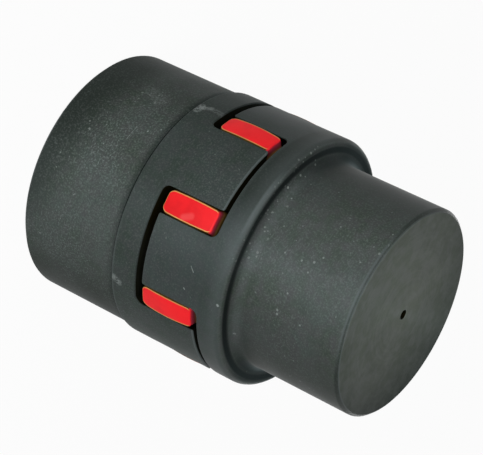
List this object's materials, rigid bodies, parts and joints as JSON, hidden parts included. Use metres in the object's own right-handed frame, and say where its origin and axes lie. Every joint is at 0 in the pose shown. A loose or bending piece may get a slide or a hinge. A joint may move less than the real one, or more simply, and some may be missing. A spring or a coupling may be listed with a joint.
{
  "type": "jaw coupling",
  "caption": "Unbored jaw coupling: dark cast iron hubs whose claws interlock round a red elastomer spider, the large hub nearly as wide as its jaw ring and the small hub narrower.",
  "frame": {"origin": "centre of the large hub's outer end, on which the coupling stands", "axes": "+Z along the coupling's axis, from the large hub to the small hub; -Y through one arm of the spider"},
  "size_m": [0.0804, 0.0804, 0.113],
  "materials": {
    "large_hub_iron": "matte turned and coated dark grey",
    "small_hub_iron": "matte turned and coated dark grey",
    "spider_elastomer": "smooth moulded polyurethane, red"
  },
  "bodies": {
    "root": {"large_hub": "large_hub_iron", "small_hub": "small_hub_iron", "spider": "spider_elastomer"}
  },
  "joints": []
}
